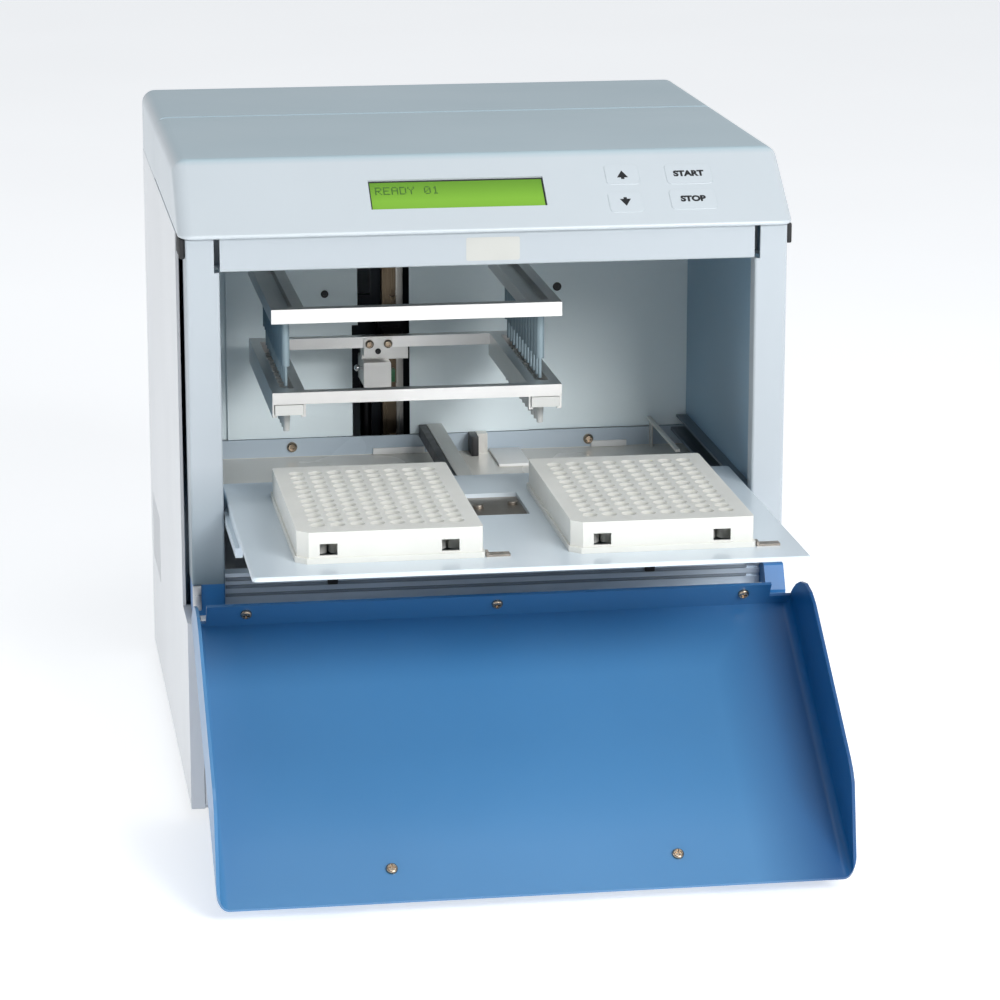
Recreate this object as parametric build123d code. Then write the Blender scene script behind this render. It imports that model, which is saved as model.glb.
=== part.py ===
from build123d import *
import os, math

# Bench-top magnetic-rod nucleic acid extractor, door open and plate tray out.
# Millimetres, +Z up, +Y towards the back. Working coordinates put y = 0 on the
# front face of the two columns; YC moves everything so that the origin is at
# the centre of the footprint of the bounding box.

os.makedirs("parts", exist_ok=True)

# ------------------------------------------------------------------ dimensions
YC = -70.565            # shift of the working frame along Y
HW = 146.8             # half width over the side panels
TS = 1.5               # sheet thickness of the casing
Z_TOP = 315.0          # top of the casing
Z_SEAM = 283.2         # underside of the hood and of the rear cover
Y_BACK = 292.0         # outer face of the rear panel
Y_SEAM = 183.1         # joint between hood and rear cover
BZ_Y0, BZ_Y1 = -5.5, 39.5   # foot and head of the sloping control face
FOOT_H = 6.5           # rubber feet
Z_BASE = 8.5           # top of the base plate
FIN = 132.2            # inner face of the inner side frames
COL_I, COL_O = 127.9, 143.6  # columns, inner and outer edge
COL_Z0 = 116.5         # underside of the columns
HDR_Z0 = 267.3         # underside of the header
Y_LOW = -7.0          # front face of the lower casing
Z_LOW = 101.1          # top of the lower front panel
# door
AX_Y, AX_Z = -14.3, 103.3   # hinge axis
DOOR_OPEN = 124.2      # degrees from closed to open
DOOR_W = 145.6         # half width over the cheeks
DOOR_Y, DOOR_Z = -16.8, 105.5   # outer skin and underside when closed
DOOR_L = 165.6         # length of the door skin
# tray and plates
TR_W, TR_Z, TR_T = 125.8, 155.4, 2.0
TR_Y0, TR_Y1 = -134.7, 42.0
TR_TRAVEL = 135.6
PL_X, PL_Y = 62.0, -51.6    # plate centres, +-x and y
PL_W, PL_L, PL_H = 85.48, 127.76, 14.35   # standard 96-well footprint
PITCH = 9.0
WELL_R = 3.48
# head
HX = -32.5             # centre of the head at rest
HEAD_TRAVEL = 64.0
HD_Y0, HD_Y1 = 17.0, 151.0
HD_HW = 70.0           # half width of both frames
ROW = 62.0             # rod row from the centre of the head
CF_Z0, CF_Z1 = 199.2, 204.9   # comb frame
MF_Z0, MF_Z1 = 238.4, 245.3   # magnet frame
ROW_Y0 = PL_Y + TR_TRAVEL - 5.5 * PITCH   # first rod, over the first well


# --------------------------------------------------------------------- helpers
def box(x0, x1, y0, y1, z0, z1):
    return Pos((x0 + x1) / 2, (y0 + y1) / 2, (z0 + z1) / 2) * Box(abs(x1 - x0), abs(y1 - y0), abs(z1 - z0))


def cx(x0, x1, y, z, r):
    return Pos((x0 + x1) / 2, y, z) * Rot(0, 90, 0) * Cylinder(r, abs(x1 - x0))


def cy(x, y0, y1, z, r):
    return Pos(x, (y0 + y1) / 2, z) * Rot(90, 0, 0) * Cylinder(r, abs(y1 - y0))


def cz(x, y, z0, z1, r):
    return Pos(x, y, (z0 + z1) / 2) * Cylinder(r, abs(z1 - z0))


def yz(pts, x0, x1):
    # prism with a (y, z) outline between x0 and x1
    w = Wire.make_polygon([Vector(x0, y, z) for y, z in pts], close=True)
    return Solid.extrude(Face(w), Vector(x1 - x0, 0, 0))


def xz(pts, y0, y1):
    w = Wire.make_polygon([Vector(x, y0, z) for x, z in pts], close=True)
    return Solid.extrude(Face(w), Vector(0, y1 - y0, 0))


def rbox(x0, x1, y0, y1, z0, z1, r, axis=Axis.Z):
    b = box(x0, x1, y0, y1, z0, z1)
    return fillet(b.edges().filter_by(axis), r)


def mirror_x(s):
    return mirror(s, Plane.YZ)


def edges_near(s, test):
    out = []
    for e in s.edges():
        c = e.center()
        if test(c.X, c.Y, c.Z, e):
            out.append(e)
    return out


PARTS = {}


def put(name, shape):
    if isinstance(shape, (list, tuple)):
        solids = []
        for s in shape:
            solids += list(s.solids())
    else:
        solids = list(shape.solids())
    solids = [Pos(0, YC, 0) * s for s in solids]
    PARTS[name] = solids
    out = solids[0] if len(solids) == 1 else Compound(children=solids)
    out.label = name
    export_step(out, f"parts/{name}.step")


# ---------------------------------------------------------------- casing, base
base = box(-HW + TS, HW - TS, Y_LOW + TS, Y_BACK - TS, FOOT_H, Z_BASE)
base -= [box(x, x + 40, y, y + 4, 0, 20) for x in (-110, -50, 10, 70) for y in (190, 202, 214)]
put("base_plate", base)

feet = []
for fx in (-122, 122):
    for fy in (16, 262):
        f = cz(fx, fy, 0, FOOT_H, 11)
        f = fillet(f.edges().sort_by(Axis.Z)[0], 1.5)
        feet.append(f - cz(fx, fy, -1, 2.5, 3.5))
put("rubber_feet", feet)

side = yz([(Y_LOW, FOOT_H), (Y_LOW, 99.5), (25.5, 99.5), (25.5, 282.8), (Y_BACK, 282.8), (Y_BACK, FOOT_H)],
          -HW, -HW + TS)
side += box(-HW + TS, -140.2, Y_LOW, Y_LOW + TS, FOOT_H, 99.5)        # front return, low
side += box(-HW + TS, -140.2, Y_LOW + TS, 27.0, 98.0, 99.5)          # ledge return
side -= [box(-150, -140, y, y + 3.0, 60, 96) for y in range(214, 271, 8)]   # louvre slots
put("side_panel_left", side)
put("side_panel_right", mirror_x(side))

low = box(-139.9, 139.9, Y_LOW, Y_LOW + TS, Z_BASE, Z_LOW)
low += box(-139.9, 139.9, Y_LOW, 20.0, Z_LOW - TS, Z_LOW)
low += box(-139.9, 139.9, Y_LOW, 4.0, Z_BASE, Z_BASE + TS)
put("lower_front_panel", low)

rear = box(-HW + TS, HW - TS, Y_BACK - TS, Y_BACK, Z_BASE, 283.0)
FAN_X, FAN_Z = -78.0, 196.0
cuts = []
for i in range(-4, 5):
    h = math.sqrt(max(28.0 ** 2 - (i * 6.2) ** 2, 0))
    cuts.append(box(FAN_X + i * 6.2 - 2.1, FAN_X + i * 6.2 + 2.1, 280, 300, FAN_Z - h, FAN_Z + h))
INL_X, INL_Z = 108.0, 42.0
SW_X, SW_Z = 72.0, 42.0
SER_X, SER_Z = -88.0, 40.0
cuts.append(box(INL_X - 14.0, INL_X + 14.0, 280, 300, INL_Z - 10.2, INL_Z + 10.2))
cuts.append(box(SW_X - 6.7, SW_X + 6.7, 280, 300, SW_Z - 9.9, SW_Z + 9.9))
cuts.append(box(SER_X - 9.6, SER_X + 9.6, 280, 300, SER_Z - 5.2, SER_Z + 5.2))
for i in range(8):
    cuts.append(box(20 + i * 12, 24 + i * 12, 280, 300, 178, 222))
rear -= cuts
put("rear_panel", rear)

# ----------------------------------------------------------------- hood, cover
SL = math.hypot(BZ_Y1 - BZ_Y0, Z_TOP - Z_SEAM)        # length of the control face
VY, VZ = (BZ_Y1 - BZ_Y0) / SL, (Z_TOP - Z_SEAM) / SL  # up the slope
NY, NZ = -VZ, VY                                      # outward normal
hood = yz([(BZ_Y0, Z_SEAM), (BZ_Y1, Z_TOP), (Y_SEAM - 0.2, Z_TOP), (Y_SEAM - 0.2, Z_SEAM)], -HW, HW)
hood = fillet(edges_near(hood, lambda x, y, z, e: abs(abs(x) - HW) < 0.1 and z > Z_SEAM + 5 and y < Y_SEAM - 5), 7.0)
hood = fillet(edges_near(hood, lambda x, y, z, e: abs(x) < 1 and abs(y - BZ_Y1) < 1 and z > Z_TOP - 2), 5.0)
hood = fillet(edges_near(hood, lambda x, y, z, e: abs(x) < 1 and abs(y - BZ_Y0) < 1 and z < Z_SEAM + 1), 1.2)
TI = 2.0
iy, iz = BZ_Y0 - NY * TI, Z_SEAM - NZ * TI


def on_slope(z):
    t = (z - iz) / VZ
    return iy + VY * t


inner = yz([(on_slope(Z_SEAM + 1.5), Z_SEAM + 1.5), (on_slope(Z_TOP - TI), Z_TOP - TI), (230, Z_TOP - TI), (230, Z_SEAM + 1.5)],
           -HW + TI, HW - TI)
inner = fillet(edges_near(inner, lambda x, y, z, e: abs(abs(x) - HW + TI) < 0.1 and z > Z_SEAM + 8 and y < 229), 5.0)
inner += box(-HW + TI, HW - TI, 5.0, 230, Z_SEAM - 2, Z_SEAM + 2)
hood -= inner
BZ = Plane(origin=(0, BZ_Y0, Z_SEAM), x_dir=(1, 0, 0), z_dir=(0, NY, NZ))


def bbx(u0, u1, v0, v1, w0, w1):
    return BZ * (Pos((u0 + u1) / 2, (v0 + v1) / 2, (w0 + w1) / 2) * Box(u1 - u0, v1 - v0, w1 - w0))


def brbx(u0, u1, v0, v1, w0, w1, r):
    b = Pos((u0 + u1) / 2, (v0 + v1) / 2, (w0 + w1) / 2) * Box(u1 - u0, v1 - v0, w1 - w0)
    return BZ * fillet(b.edges().filter_by(Axis.Z), r)


LCD = (-55.0, 29.0, 18.0, 37.8)
KEYS = {"key_up": (67.6, 37.4, 8.0, 6.5), "key_down": (66.8, 18.6, 8.0, 6.5),
        "key_start": (100.0, 36.8, 11.0, 6.5), "key_stop": (99.6, 19.6, 11.0, 6.5)}
KG = 0.3              # gap round each key
hood -= bbx(LCD[0], LCD[1], LCD[2], LCD[3], -6, 6)
for ku, kv, kw, kh in KEYS.values():
    hood -= brbx(ku - kw - KG, ku + kw + KG, kv - kh - KG, kv + kh + KG, -6, 6, 2.0 + KG)
hood -= box(-HW - 1, HW + 1, Y_SEAM - 3.9, Y_SEAM, Z_TOP - 1.3, Z_TOP + 1)     # rebate in front of the joint
put("front_hood", hood)

put("display_window", bbx(LCD[0] + 0.05, LCD[1] - 0.05, LCD[2] + 0.05, LCD[3] - 0.05, -2.2, -1.1))
put("display_module", [bbx(LCD[0] - 4, LCD[1] + 4, LCD[2] - 5, LCD[3] + 5, -9.6, -5.2) + bbx(LCD[0] + 0.2, LCD[1] - 0.2, LCD[2] + 0.2, LCD[3] - 0.2, -5.2, -2.2),
                       bbx(LCD[0] - 6, LCD[1] + 6, LCD[2] - 8, LCD[3] + 8, -11.2, -9.6)])
for kn, (ku, kv, kw, kh) in KEYS.items():
    k = brbx(ku - kw, ku + kw, kv - kh, kv + kh, -2.6, 0.25, 2.0)
    k += bbx(ku - kw - 0.9, ku + kw + 0.9, kv - kh - 0.9, kv + kh + 0.9, -3.2, -2.35)
    k += bbx(ku - 2, ku + 2, kv - 2, kv + 2, -3.6, -3.0)
    put(kn, k)
kb = [bbx(52, 118, 13, 47, -8.0, -6.4)]
for ku, kv, kw, kh in KEYS.values():
    kb.append(bbx(ku - 3, ku + 3, kv - 3, kv + 3, -6.4, -4.3))
kb += [BZ * (Pos(u, v, -4.2) * Cylinder(2.0, 4.4)) for u, v in ((54.5, 28), (115.5, 28), (82, 40), (82, 17))]
put("keypad_board", kb)

cov = box(-HW, HW, Y_SEAM + 0.2, Y_BACK + 0.3, Z_SEAM, Z_TOP)
cov = fillet(edges_near(cov, lambda x, y, z, e: abs(abs(x) - HW) < 0.1 and z > Z_TOP - 1 and e.length > 50), 7.0)
cov = fillet(edges_near(cov, lambda x, y, z, e: abs(x) < 1 and y > Y_BACK and z > Z_TOP - 1), 4.0)
ci = box(-HW + TI, HW - TI, 150, Y_BACK + 0.3 - TI, Z_SEAM - 1, Z_TOP - TI)
ci = fillet(edges_near(ci, lambda x, y, z, e: abs(abs(x) - HW + TI) < 0.1 and z > Z_TOP - TI - 1 and e.length > 50), 5.0)
cov -= ci
put("rear_top_cover", cov)

# --------------------------------------------------------- columns and header
col = box(-COL_O, -COL_I, 0, TS, COL_Z0, 282.8)
col += box(-COL_I - TS, -COL_I, 0, 9.0, COL_Z0, 282.8)
col += box(-COL_O, -COL_O + TS, 0, 20.0, COL_Z0, 282.8)
col += box(-COL_O, -COL_I, 0, 9.0, COL_Z0, COL_Z0 + TS)
col = fillet(edges_near(col, lambda x, y, z, e: y < 0.01 and abs(e.length - (282.8 - COL_Z0)) < 0.1), 1.3)
col -= box(-COL_I - 2.5, -COL_I + 1, -1, 12, HDR_Z0 - 0.4, 290)
put("column_left", col)
put("column_right", mirror_x(col))

hdr = box(-COL_I + 0.3, COL_I - 0.3, 0, TS, HDR_Z0, Z_SEAM)
hdr += box(-COL_I + 0.3, COL_I - 0.3, 0, 16.0, HDR_Z0, HDR_Z0 + TS)
hdr = fillet(edges_near(hdr, lambda x, y, z, e: y < 0.01 and z < HDR_Z0 + 0.1 and abs(x) < 1), 0.8)
hdr += box(-FIN, FIN, 10.5, 16.0, HDR_Z0, HDR_Z0 + TS)
hdr += box(-FIN, FIN, 14.5, 16.0, HDR_Z0, 281.0)
put("header_rail", hdr)

# ------------------------------------------------- inner frame and chamber
inn = yz([(20, Z_BASE), (20, COL_Z0 + TS), (TS, COL_Z0 + TS), (TS, 281.0), (286.0, 281.0), (286.0, Z_BASE)], -FIN - TS, -FIN)
put("inner_frame_left", inn)
put("inner_frame_right", mirror_x(inn))

bw = box(-FIN, FIN, 180.4, 181.4, 145.2, 281.0)
bw -= box(-49.6, 47.2, 170, 190, 140.0, 277.0)
put("chamber_back_wall", bw)

xm = box(-FIN, FIN, 178.0, 179.5, 118.0, 145.0)
xm += box(-FIN, FIN, 100.0, 178.0, 134.0, 135.2)
put("rear_cross_member", xm)

sill = box(-128.0, 133.8, 6.2, 14.0, Z_LOW, 116.2) + box(-127.6, 127.6, 6.2, 14.0, 116.2, 120.0)
for z0, z1 in ((Z_LOW, 103.2), (105.0, 108.6), (110.2, 112.6), (114.4, 116.2)):
    sill += box(-128.0, 133.8, 5.0, 6.2, z0, z1)
sill += box(-127.6, 127.6, 5.0, 6.2, 118.2, 120.0)
put("front_sill", sill)

hb = [rbox(-143.4, -128.0, 0.5, 19.5, Z_LOW, COL_Z0, 1.0)]
hb.append(yz([(19.5, Z_LOW), (19.5, COL_Z0), (-2.6, COL_Z0), (-3.6, COL_Z0 - 0.6), (-9.3, 105.0), (-9.3, 103.6), (-7.6, 101.9), (-6.4, Z_LOW)], 134.0, 143.7))
put("hinge_blocks", hb)

rails = []
r = box(-FIN, -131.2, 9.4, 177.6, 143.0, 151.3) + box(-FIN, -123.5, 9.4, 177.6, 143.0, 144.6) + box(-FIN, -126.4, 9.4, 177.6, 150.2, 151.3)
rails += [r, mirror_x(r)]
cr = box(-7.5, 0.5, 14.3, 178.0, 143.0, 150.6) + box(-7.5, 0.5, 14.3, 19.5, Z_LOW, 143.0)
rails += [cr, box(18.6, 24.0, 171.0, 178.0, 135.2, 145.9)]
rails.append(box(111.9, 112.8, 172.0, 178.0, 135.2, 150.6) + box(110.6, 112.8, 100.0, 178.0, 149.4, 150.6))
put("tray_rails", rails)

# ------------------------------------------------------------------- tray body
tray = rbox(-TR_W, TR_W, TR_Y0, TR_Y1, TR_Z - TR_T, TR_Z, 2.5)
tray -= box(-15.0, 13.0, -39.0, 3.0, 150, 160)
tray = chamfer(edges_near(tray, lambda x, y, z, e: z > TR_Z - 0.01 and y < TR_Y0 + 0.1 and e.length > 100), 0.5)
ru = box(-127.4, -124.0, -60.0, 41.0, 145.0, 149.5) + box(-125.5, -124.0, -60.0, 41.0, 149.5, TR_Z - TR_T)
put("tray_plate", tray + ru + mirror_x(ru))
fit = [box(-18, 16, -42, 6, 151.7, TR_Z - TR_T)]
fit += [fillet(cz(x, y, TR_Z - TR_T, TR_Z - 0.5, 2.4).edges().sort_by(Axis.Z)[-1], 0.5) for x, y in ((-8.0, -15.5), (9.0, -11.0))]
for pcx in (-PL_X, PL_X):
    x0 = pcx + PL_W / 2 + 0.4
    c = box(x0, x0 + 11.0, PL_Y - PL_L / 2 + 1.0, PL_Y - PL_L / 2 + 6.0, TR_Z, TR_Z + 1.0)
    c += box(x0, x0 + 1.2, PL_Y - PL_L / 2 + 1.0, PL_Y - PL_L / 2 + 6.0, TR_Z, TR_Z + 2.2)
    fit.append(c)
put("tray_fittings", fit)


def microplate(px):
    z0 = TR_Z
    y0, y1 = PL_Y - PL_L / 2, PL_Y + PL_L / 2
    x0, x1 = px - PL_W / 2, px + PL_W / 2
    # skirt and body, with the large corner cut at the front left
    flange = box(x0, x1, y0, y1, z0, z0 + 2.6)
    body = box(x0 + 0.9, x1 - 0.9, y0 + 0.9, y1 - 0.9, z0, z0 + PL_H)
    s = flange + body

    def corner(c, px0, px1, sy):
        return c
    s = chamfer(edges_near(s, lambda x, y, z, e: abs(x - x0) < 1.2 and abs(y - y0) < 1.2 and abs(e.tangent_at(0.5).Z) > 0.9), 5.0)
    s = fillet(edges_near(s, lambda x, y, z, e: abs(x - x1) < 1.2 and abs(y - y0) < 1.2 and abs(e.tangent_at(0.5).Z) > 0.9), 2.0)
    s = fillet(edges_near(s, lambda x, y, z, e: abs(y - y1) < 1.2 and abs(e.tangent_at(0.5).Z) > 0.9), 2.0)
    hollow = box(x0 + 2.2, x1 - 2.2, y0 + 2.2, y1 - 2.2, z0 - 1, z0 + PL_H - 1.6)
    hollow = chamfer(edges_near(hollow, lambda x, y, z, e: abs(x - x0 - 2.2) < 0.1 and abs(y - y0 - 2.2) < 0.1), 5.0)
    s -= hollow
    cen = [(px + (i - 3.5) * PITCH, PL_Y + (j - 5.5) * PITCH) for i in range(8) for j in range(12)]
    s += [cz(x, y, z0 + 2.0, z0 + PL_H - 1.0, 4.15) for x, y in cen]
    s -= [cz(x, y, z0 + 3.0, z0 + PL_H + 1, WELL_R) for x, y in cen]
    # two windows in the front skirt
    s -= [box(px + dx - 4.0, px + dx + 4.0, y0 - 1, y0 + 2.6, z0 + 3.6, z0 + 9.0) for dx in (-28.0, 27.0)]
    return s


mp = microplate(-PL_X)
put("microplate_left", mp)
put("microplate_right", Pos(2 * PL_X, 0, 0) * mp)

# ------------------------------------------------------------------- door body
prof = [(0, 0), (7.6, 0), (12, 1.4), (19, 4.6), (26.5, 9.6), (33, 16.4), (37.3, 25.5), (38.8, 34), (36, 124), (35.2, 130), (33.2, 135.5), (3, DOOR_L), (0, DOOR_L)]
door = yz([(DOOR_Y + a, DOOR_Z + b) for a, b in prof], -DOOR_W, DOOR_W)
door = fillet(edges_near(door, lambda x, y, z, e: abs(abs(x) - DOOR_W) < 0.1 and abs(y - DOOR_Y) < 0.1 and e.length > 100), 5.5)
di = box(-DOOR_W + TS, DOOR_W - TS, DOOR_Y + TS, DOOR_Y + 80, DOOR_Z + TS, DOOR_Z + DOOR_L + 20)
di = fillet(edges_near(di, lambda x, y, z, e: abs(abs(x) - DOOR_W + TS) < 0.1 and abs(y - DOOR_Y - TS) < 0.1 and e.length > 100), 4.2)
door -= di
door -= box(-DOOR_W + TS, 133.2, DOOR_Y + 4.0, DOOR_Y + 80, DOOR_Z - 2, DOOR_Z + TS)
door -= box(133.1, DOOR_W - TS, DOOR_Y + 7.0, DOOR_Y + 80, DOOR_Z - 2, DOOR_Z + TS)
door += box(-138.8, 133.2, DOOR_Y + 3.9, DOOR_Y + 15.5, DOOR_Z, DOOR_Z + TS)     # hinge flange, notched at both ends
# far corners rounded
for sx in (-1, 1):
    c0 = sorted((sx * (DOOR_W - 6.0), sx * (DOOR_W + 1)))
    cut = box(c0[0], c0[1], DOOR_Y - 1, DOOR_Y + 80, DOOR_Z + DOOR_L - 6.0, DOOR_Z + DOOR_L + 1)
    cut -= cy(sx * (DOOR_W - 6.0), DOOR_Y - 2, DOOR_Y + 81, DOOR_Z + DOOR_L - 6.0, 6.0)
    door -= cut
LEAF_R = 2.2
PIN_R = 1.0


def knuckles(odd):
    segs = []
    n = 12
    w = 258.0 / n
    for i in range(n):
        if (i % 2 == 0) == odd:
            a = -129.0 + i * w
            segs.append((a + 0.2, a + w - 0.2))
    return segs


fl = box(-129.0, 129.0, AX_Y, 0.2, Z_LOW, Z_LOW + 1.2)
dl = box(-129.0, 129.0, AX_Y, -2.5, AX_Z + LEAF_R - 1.2, AX_Z + LEAF_R)
for a, b in knuckles(True):
    fl += cx(a, b, AX_Y, AX_Z, LEAF_R)
    dl -= box(a - 0.25, b + 0.25, AX_Y - 4, AX_Y + 3.0, AX_Z - 4, AX_Z + 4)
for a, b in knuckles(False):
    dl += cx(a, b, AX_Y, AX_Z, LEAF_R)
    fl -= box(a - 0.25, b + 0.25, AX_Y - 4, AX_Y + 3.0, AX_Z - 4, AX_Z + 4)
fl -= cx(-140, 140, AX_Y, AX_Z, PIN_R)
dl -= cx(-140, 140, AX_Y, AX_Z, PIN_R + 0.06)
put("hinge_leaf_fixed", fl)
put("hinge_pin", cx(-128.6, 128.6, AX_Y, AX_Z, PIN_R - 0.01))
pull = box(-80, 80, DOOR_Y - 1.5, DOOR_Y, 247.0, 260.0) + box(-80, 80, DOOR_Y - 8.0, DOOR_Y, 258.0, 260.0)
pull = fillet(pull.edges().filter_by(Axis.Z).group_by(Axis.Y)[0], 3.0) if False else pull
scr = []
for x in (-120.0, 0.0, 120.0):
    h = cz(x, -6.8, DOOR_Z + TS, DOOR_Z + TS + 1.7, 2.7)
    h = fillet(h.edges().sort_by(Axis.Z)[-1], 0.9)
    h -= box(x - 0.4, x + 0.4, -8.4, -5.2, DOOR_Z + TS + 1.0, DOOR_Z + 5) + box(x - 1.6, x + 1.6, -7.2, -6.4, DOOR_Z + TS + 1.0, DOOR_Z + 5)
    scr.append(h + cz(x, -6.8, DOOR_Z - 1.2, DOOR_Z + TS, 1.45))
    door -= cz(x, -6.8, DOOR_Z - 3, DOOR_Z + 4, 1.5)
    dl -= cz(x, -6.8, DOOR_Z - 3, DOOR_Z + 4, 1.5)
for x in (-65.6, 65.6):
    zc = DOOR_Z + 148.0
    h = cy(x, DOOR_Y + TS, DOOR_Y + TS + 1.7, zc, 2.7)
    h = fillet(h.edges().sort_by(Axis.Y)[-1], 0.9)
    h -= box(x - 0.4, x + 0.4, DOOR_Y + TS + 1.0, 0, zc - 1.6, zc + 1.6) + box(x - 1.6, x + 1.6, DOOR_Y + TS + 1.0, 0, zc - 0.4, zc + 0.4)
    scr.append(h + cy(x, DOOR_Y - 1.4, DOOR_Y + TS, zc, 1.45))
    door -= cy(x, DOOR_Y - 5, DOOR_Y + 5, zc, 1.5)
    pull -= cy(x, DOOR_Y - 1.45, DOOR_Y + 5, zc, 1.5)


def swing(s):
    # closed position to the open rest position
    return Pos(0, AX_Y, AX_Z) * Rot(DOOR_OPEN, 0, 0) * Pos(0, -AX_Y, -AX_Z) * s


put("door_panel", swing(door))
put("hinge_leaf_door", swing(dl))
put("door_screws", [swing(s) for s in scr])
put("door_pull", swing(pull))

# ----------------------------------------------------------- head, comb stage
YR = [ROW_Y0 + i * PITCH for i in range(12)]


def hb_(x0, x1, y0, y1, z0, z1):
    return box(HX + x0, HX + x1, y0, y1, z0, z1)


cf = hb_(-HD_HW, HD_HW, HD_Y0, HD_Y1, CF_Z0, CF_Z1) - hb_(-54, 54, HD_Y0 + 6, HD_Y1 - 6, CF_Z0 - 1, CF_Z1 + 1)
for sx in (-1, 1):
    c = sx * ROW
    cf -= hb_(c - 3.2, c + 3.2, YR[0] - 7, YR[-1] + 7, CF_Z0 - 1, CF_Z1 + 1)
    cf += hb_(c - 8, c - 7.1, HD_Y0 + 1, HD_Y1 - 1, 192.8, CF_Z0) + hb_(c + 7.1, c + 8, HD_Y0 + 1, HD_Y1 - 1, 192.8, CF_Z0)
    cf += hb_(c - 7.1, c - 5.9, HD_Y0 + 1, HD_Y1 - 1, 192.8, 194.0) + hb_(c + 5.9, c + 7.1, HD_Y0 + 1, HD_Y1 - 1, 192.8, 194.0)
put("comb_frame", cf)

combs = []
for sx in (-1, 1):
    c = HX + sx * ROW
    s = box(c - 6.8, c + 6.8, HD_Y0 - 0.5, HD_Y1 + 0.5, 194.0, 198.9)
    s += [Pos(c, y, 188.25) * Cone(1.5, 2.1, 11.5) for y in YR]
    s -= [cz(c, y, 194.2, 201.0, 2.6) for y in YR]
    s -= [cz(c, y, 183.4, 195.0, 1.05) for y in YR]
    combs.append(s)
put("tip_combs", combs)

mf = hb_(-HD_HW, HD_HW, HD_Y0, HD_Y1, MF_Z0, MF_Z1) - hb_(-54, 54, HD_Y0 + 6, HD_Y1 - 6, MF_Z0 - 1, MF_Z1 + 1)
for sx in (-1, 1):
    c = sx * ROW
    mf -= hb_(c - 2.6, c + 2.6, HD_Y0 + 7, HD_Y1 - 7, MF_Z0 + 3.0, MF_Z1 + 1)
mf -= hb_(-54, 54, HD_Y1 - 7, HD_Y1 + 1, MF_Z0 - 1, 241.2)
put("magnet_frame", mf)
rods = []
for sx in (-1, 1):
    for y in YR:
        c = HX + sx * ROW
        rod = cz(c, y, 214.5, MF_Z0, 2.1) + cz(c, y, 204.7, 214.5, 0.9)
        rods.append(rod)
put("magnet_rods", rods)

# brackets, sliders and push rods; RAIL is the vertical rail on the carriage
RAIL = (5.2, 16.2, 205.0, 212.0)


def slider(z0, z1):
    s = hb_(2.3, 20.0, 198.0, 211.4, z0, z1)
    s -= hb_(RAIL[0] - 0.35, RAIL[1] + 0.35, RAIL[2] - 0.35, 220, z0 - 1, z1 + 1)
    return s


cb = box(-44.1, -29.4, 143.5, 145.0, 194.7, 204.5) + box(-44.1, -29.4, 143.5, 160.0, 194.7, 199.2)
cb += box(-43.6, -19.5, 158.0, 164.0, 190.4, 199.0)
cb += fillet(box(-43.6, -29.5, 149.0, 176.0, 177.2, 190.5).edges().filter_by(Axis.Y), 0.8)
cb += box(-29.0, -19.5, 158.0, 202.0, 192.0, 199.0)
cb += slider(186.0, CF_Z1)
cb += box(-40.6, -30.0, 192.0, 202.0, 184.0, 190.0) + cz(HX - 5.0, 196.0, 66.0, 188.0, 3.0)
put("comb_bracket", cb)

mb = hb_(-8.0, 11.8, HD_Y1, 202.0, 240.4, MF_Z1)
mb -= hb_(-5.5, 9.0, 155.0, 176.0, 242.0, 250.0)
mb += slider(234.0, 257.0)
mb += hb_(11.8, 29.0, 191.0, 201.0, 236.0, 244.0)
mb += cz(HX + 25.0, 196.0, 66.0, 238.0, 3.0)
put("magnet_bracket", mb)

# -------------------------------------------------------------- carriage in X
zr = hb_(RAIL[0], RAIL[1], RAIL[2], RAIL[3], 106.0, 277.0)
zr -= hb_(RAIL[0] - 1, RAIL[0] + 1.2, RAIL[2] + 2.2, RAIL[2] + 4.2, 100, 280) + hb_(RAIL[1] - 1.2, RAIL[1] + 1, RAIL[2] + 2.2, RAIL[2] + 4.2, 100, 280)
zr -= [cy(HX + 10.7, 204.0, 207.0, z, 2.3) for z in range(116, 276, 25)]
put("z_rail", zr)

GR_Y, GR_R = 228.0, 5.0
GR_Z = (112.0, 268.0)
xc = hb_(-24, 39, 212.0, 216.0, 66.0, 278.0)
for z in GR_Z:
    xc += hb_(-24, 39, 216.0, 240.0, z - 10, z + 10)
xc -= [cx(-200, 200, GR_Y, z, GR_R + 0.05) for z in GR_Z]
BELT_Z, BELT_Y0, BELT_Y1, PUL_R = 190.0, 247.0, 253.0, 6.37
xc += hb_(-6, 10, 216.0, 253.0, BELT_Z + PUL_R + 1.1, BELT_Z + PUL_R + 4.5)
xc += hb_(-6, 10, 216.0, 253.0, BELT_Z + PUL_R - 4.5, BELT_Z + PUL_R - 1.1)
xc -= [hb_(-14, 0, 205, 220, z, z + 34) for z in (128, 214)]
put("x_carriage", xc)

za = []
for u in (-5.0, 25.0):
    m = rbox(HX + u - 14, HX + u + 14, 182.5, 212.0, 72.0, 102.0, 2.0)
    m += cz(HX + u, 196.0, 102.0, 104.0, 11.0)
    m -= cz(HX + u, 196.0, 60, 110, 3.08)
    za.append(m)
put("z_actuators", za)

SH_Y = 178.9
sh = hb_(-79.5, 80.0, SH_Y, SH_Y + 1.0, 145.3, 279.0)
sh -= box(-43.3, -16.1, 170, 190, 140.0, 276.0) + box(-46.4, -16.1, 170, 190, 140.0, 204.5)
sh += box(-49.4, -46.5, SH_Y + 1.0, 212.0, 158.0, 272.0)
put("shield_plate", sh)

put("x_guide_rods", [cx(-FIN, FIN, GR_Y, z, GR_R) for z in GR_Z])
sup = []
for z in GR_Z:
    s = box(-FIN, -FIN + 12, GR_Y - 9, GR_Y + 9, z - 9, z + 9) - cx(-140, -100, GR_Y, z, GR_R + 0.02)
    sup += [s, mirror_x(s)]

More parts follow.
